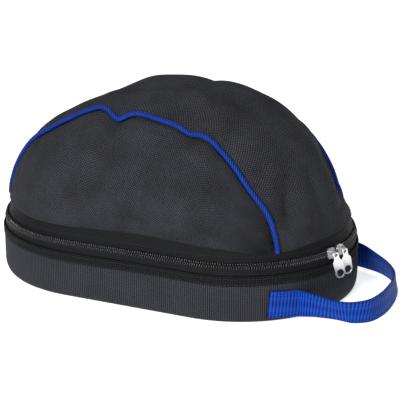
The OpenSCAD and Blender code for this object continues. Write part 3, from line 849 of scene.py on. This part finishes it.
hinge_line = [(TAPE_ROOT_R, BAND_H - HEM_H), (TAPE_ROOT_R, BAND_H), zip_wall(0, 0.2 * MM),
              (UPPER_TAPE_R, DOME_Z), TAPE_TOP]
hinge = ring("hinge_cloth", hinge_line, 27, 40, PACK_CLOTH, "outer_cloth", start=-HINGE_SHARE * 1.02,
             end=HINGE_SHARE * 1.02, replaces=["hinge_cloth_lower", "hinge_cloth_upper"])
bm = bmesh.new()
bm.from_mesh(hinge.data)
bmesh.ops.solidify(bm, geom=bm.faces, thickness=0.9 * MM)
bm.to_mesh(hinge.data)
bm.free()
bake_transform(hinge)


# ---- Handle ------------------------------------------------------------------------------

WEB_W, WEB_T = 25 * MM, 2 * MM
WEB_Z = 4 * MM
WEB_RIB = 3.2 * MM
# The sewn ends lie on the band between these angles, and take this share of the strap each.
SEWN_A, SEWN_B = math.radians(38), math.radians(53)
SEWN_SHARE = 0.105
# In mm: how high the near sewn end sits at its outer end, and how far it drops towards the loop.
NEAR_RISE, NEAR_DROP = 1.6, 2.6

# Stations of the loop from the near sewn end to the far one: middle in mm, and how far its top edge
# leans towards the near side, in degrees.
LOOP = [
    (151.0, -70.4, 15.5, 0), (163.5, -68.0, 14.6, 16), (180.5, -64.6, 12.4, 27), (197.0, -63.0, 12.0, 24),
    (210.0, -51.0, 11.9, 22), (215.2, -31.5, 12.0, 20), (215.8, -10.0, 12.3, 14), (213.6, 9.0, 12.9, 20),
    (208.6, 25.0, 13.8, 29), (199.0, 39.0, 15.4, 31), (184.0, 52.4, 16.4, 26), (167.0, 63.0, 16.8, 10),
    (151.0, 70.4, 16.5, 0),
]


def spline(rows, t):
    """Smooth curve through the rows, at share t."""
    k = min(len(rows) - 2, int(t * (len(rows) - 1)))
    f = t * (len(rows) - 1) - k
    p0, p1, p2, p3 = (rows[min(len(rows) - 1, max(0, k + d))] for d in (-1, 0, 1, 2))
    return [0.5 * (2 * b + (c - a) * f + (2 * a - 5 * b + 4 * c - d) * f * f
                   + (3 * b - a - 3 * c + d) * f ** 3) for a, b, c, d in zip(p0, p1, p2, p3)]


def strap_frame(s):
    """Middle of the webbing and its width direction at s from 0, near, to 1, far."""
    sewn = SEWN_SHARE
    r = BAND_R + WEB_T / 2 + 0.1 * MM
    if s < sewn or s > 1 - sewn:
        side = -1 if s < 0.5 else 1
        a = SEWN_B + (SEWN_A - SEWN_B) * min(s, 1 - s) / sewn
        rise = (NEAR_RISE - NEAR_DROP * min(s, 1 - s) / sewn) * MM if side < 0 else 0.0
        return Vector((STRAIGHT + r * math.cos(a), side * r * math.sin(a), WEB_Z + WEB_W / 2 + rise)), Vector(
            (0, 0, 1))
    x, y, z, lean = spline(LOOP, (s - sewn) / (1 - 2 * sewn))
    lean = math.radians(lean)
    return Vector((x, y, z)) * MM, Vector((0, -math.sin(lean), math.cos(lean)))


def strap_sheet(steps):
    """The ribbed webbing as a closed tube of flat section along strap_frame."""
    frames = [strap_frame(k / steps) for k in range(steps + 1)]
    length = sum((b[0] - a[0]).length for a, b in zip(frames, frames[1:]))

    def place(u, v):
        k = round(u * steps)
        p, width = frames[k]
        tangent = (frames[min(steps, k + 1)][0] - frames[max(0, k - 1)][0]).normalized()
        out = tangent.cross(width).normalized()
        width = out.cross(tangent).normalized()
        a = 2 * math.pi * v
        c, s = math.cos(a), math.sin(a)
        flat_c = math.copysign(abs(c) ** 0.25, c)
        flat_s = math.copysign(abs(s) ** 0.5, s)
        rib = 1 + 0.16 * math.cos(2 * math.pi * u * length / WEB_RIB)
        return p + width * (WEB_W / 2 * flat_c) + out * (WEB_T / 2 * flat_s * rib)

    bm = sheet(steps + 1, 25, (length, 2 * WEB_W), place, close_u=True, close_v=True)
    for end in (0.0, 1.0):
        loop = [e for e in bm.edges if e.is_boundary]
        if loop:
            bmesh.ops.holes_fill(bm, edges=loop)
    bmesh.ops.recalc_face_normals(bm, faces=bm.faces)
    return bm


strap = finish_piece("webbing_strap", strap_sheet(640), WEBBING, "blue_webbing",
                     replaces=["handle_end_near", "handle_end_far", "handle_loop"])
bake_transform(strap)

bm = bmesh.new()
for side in (-1, 1):
    def patch_frame(angle, z, turn=0.0, side=side):
        r = BAND_R + WEB_T + 0.25 * MM
        out = Vector((math.cos(angle), side * math.sin(angle), 0))
        tangent = Vector((-side * math.sin(angle), math.cos(angle), 0)) * 1.0
        m = Matrix((tangent, out.cross(tangent), out)).transposed().to_4x4()
        m.translation = Vector((STRAIGHT + r * out.x, r * out.y, z))
        return m @ Matrix.Rotation(turn, 4, "Z")

    lo, hi = SEWN_A + math.radians(1.4), SEWN_B - math.radians(1.2)
    z0 = WEB_Z + (3.8 * MM if side < 0 else 2.2 * MM)
    z1 = z0 + WEB_W - 4.4 * MM
    for z in (z0, z1):
        stitch_row(bm, 10, lambda s, z=z: patch_frame(lo + (hi - lo) * s, z), 2.5 * MM, 0.6 * MM)
    for a in (lo, hi):
        stitch_row(bm, 7, lambda s, a=a: patch_frame(a, z0 + (z1 - z0) * s, math.pi / 2), 2.5 * MM, 0.6 * MM)
finish_piece("strap_stitches", bm, BLUE_THREAD, "blue_webbing", "root")


# ---- Metal and what stays as the frame has it --------------------------------------------

# A pull: length under its pivot, width, thickness and neck width; its grip slot; and its pivot on the end.
PULL_LEN, PULL_W, PULL_T, NECK_W = 24.4 * MM, 9.4 * MM, 1.5 * MM, 5.4 * MM
SLOT_LOW, SLOT_HIGH = 1.4 * MM - PULL_LEN, 8.4 * MM - PULL_LEN
PIVOT_R, PIVOT_Z = 114.015 * MM, 54.317 * MM


def pull_half_width(y):
    """Half width of a pull at height y under its pivot: a neck, shoulders and a round tip."""
    shoulder = min(1.0, max(0.0, (-y - 5.5 * MM) / (3.5 * MM)))
    half = (NECK_W + (PULL_W - NECK_W) * shoulder * shoulder * (3 - 2 * shoulder)) / 2
    tip = max(0.0, 1 - (y + PULL_LEN) / (PULL_W / 2))
    top = max(0.0, 1 - (0.9 * MM - y) / (1.2 * MM))
    return half * math.sqrt(max(0.0, 1 - tip ** 2)) * math.sqrt(max(0.0, 1 - top ** 2))


def pull_loop(bm, count, low, high, half_width):
    """A closed outline from low to high whose width follows half_width."""
    ring_verts = bmesh.ops.create_circle(bm, segments=count, radius=1.0, cap_ends=False)["verts"]
    for vert in ring_verts:
        y = (low + high) / 2 + (high - low) / 2 * vert.co.y
        side = 1 if vert.co.x > 1e-6 else -1 if vert.co.x < -1e-6 else 0
        vert.co = Vector((side * half_width(y), y, 0))


def slot_half_width(low, high, half):
    """Half width of a slot with round ends, as a function of height."""
    return lambda y: half * math.sqrt(max(0.0, 1 - max(
        0.0, 1 - min(y - low, high - y) / half) ** 2))


def pull_mesh(angle, twist, roll):
    """A stamped pull with its eye and grip slot, hung from its crown at an angle on the end arc."""
    bm = bmesh.new()
    pull_loop(bm, 96, -PULL_LEN, 0.9 * MM, pull_half_width)
    pull_loop(bm, 32, SLOT_LOW, SLOT_HIGH, slot_half_width(SLOT_LOW, SLOT_HIGH, 3.0 * MM))
    pull_loop(bm, 24, -3.4 * MM, -0.6 * MM, slot_half_width(-3.4 * MM, -0.6 * MM, 1.3 * MM))
    bmesh.ops.triangle_fill(bm, use_beauty=True, edges=bm.edges)
    made = bmesh.ops.extrude_face_region(bm, geom=bm.faces)
    moved = [g for g in made["geom"] if isinstance(g, bmesh.types.BMVert)]
    bmesh.ops.translate(bm, verts=moved, vec=(0, 0, PULL_T))
    bmesh.ops.recalc_face_normals(bm, faces=bm.faces)
    rims = [e for e in bm.edges if len(e.link_faces) == 2 and e.calc_face_angle() > 1.2]
    bmesh.ops.bevel(bm, geom=rims, offset=0.35 * MM, segments=3, profile=0.5, affect="EDGES",
                    material=-1)
    bmesh.ops.translate(bm, verts=bm.verts, vec=(0, 0, -PULL_T / 2))
    out = Vector((math.cos(angle), math.sin(angle), 0))
    tangent = Vector((-math.sin(angle), math.cos(angle), 0))
    stand = Matrix((tangent, Vector((0, 0, 1)), out)).transposed().to_4x4()
    stand.translation = Vector((STRAIGHT, 0, PIVOT_Z)) + out * (PIVOT_R + 1.2 * MM)
    turn = Matrix.Rotation(twist, 4, "Y") @ Matrix.Rotation(roll, 4, "Z")
    bmesh.ops.transform(bm, matrix=stand @ turn, verts=bm.verts)
    return bm


for word, park, roll in (("near", -19, 16), ("far", -12, 12)):
    finish_piece("pull_tab_" + word, pull_mesh(math.radians(park), math.radians(-30), math.radians(roll)),
                 PLATED_ZINC, "plated_zinc", "pull_" + word, ["pull_" + word], flat=True)

for name in ("slider_near", "slider_far"):
    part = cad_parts[name]
    part.data.materials.clear()
    part.data.materials.append(PLATED_ZINC)
    weld = part.modifiers.new("weld", "WELD")
    weld.merge_threshold = 0.01 * MM
    round_off = part.modifiers.new("round_off", "BEVEL")
    round_off.width = 0.18 * MM
    round_off.segments = 2
    round_off.limit_method = "ANGLE"
    round_off.angle_limit = math.radians(35)
    round_off.harden_normals = False
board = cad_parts["base_board"]
board.data.materials.clear()
board.data.materials.append(BOARD)


# ---- Floor and light ---------------------------------------------------------------------

floor_mesh = bpy.data.meshes.new("floor")
bm = bmesh.new()
bmesh.ops.create_grid(bm, x_segments=1, y_segments=1, size=6)
bm.to_mesh(floor_mesh)
bm.free()
floor = bpy.data.objects.new("floor", floor_mesh)
bpy.context.scene.collection.objects.link(floor)
floor_paint = new_material("pale_floor", Roughness=0.9,
                           **{"Base Color": paint("#f4f4f4"), "Emission Color": paint("#ffffff"),
                              "Emission Strength": 0.65})[0]
floor_mesh.materials.append(floor_paint)

world = bpy.data.worlds.new("studio")
bpy.context.scene.world = world
world.use_nodes = True
world.node_tree.nodes["Background"].inputs[0].default_value = (1, 1, 1, 1)
world.node_tree.nodes["Background"].inputs[1].default_value = 0.26


def soft_light(name, place, aim, size, power):
    """A rectangular lamp at place, turned to aim."""
    data = bpy.data.lights.new(name, "AREA")
    data.shape = "RECTANGLE"
    data.size, data.size_y = size
    data.energy = power
    lamp = bpy.data.objects.new(name, data)
    bpy.context.scene.collection.objects.link(lamp)
    lamp.location = Vector(place)
    lamp.rotation_mode = "QUATERNION"
    lamp.rotation_quaternion = (Vector(aim) - Vector(place)).to_track_quat("-Z", "Y")


soft_light("key", (0.1, -1.5, 0.8), (0.02, 0, 0.08), (0.4, 0.4), 25)
soft_light("fill", (1.2, -1.0, 0.9), (0, 0, 0.06), (0.8, 0.8), 3)
soft_light("top", (-0.2, 0.2, 1.6), (0, 0, 0.1), (1.2, 0.8), 8)
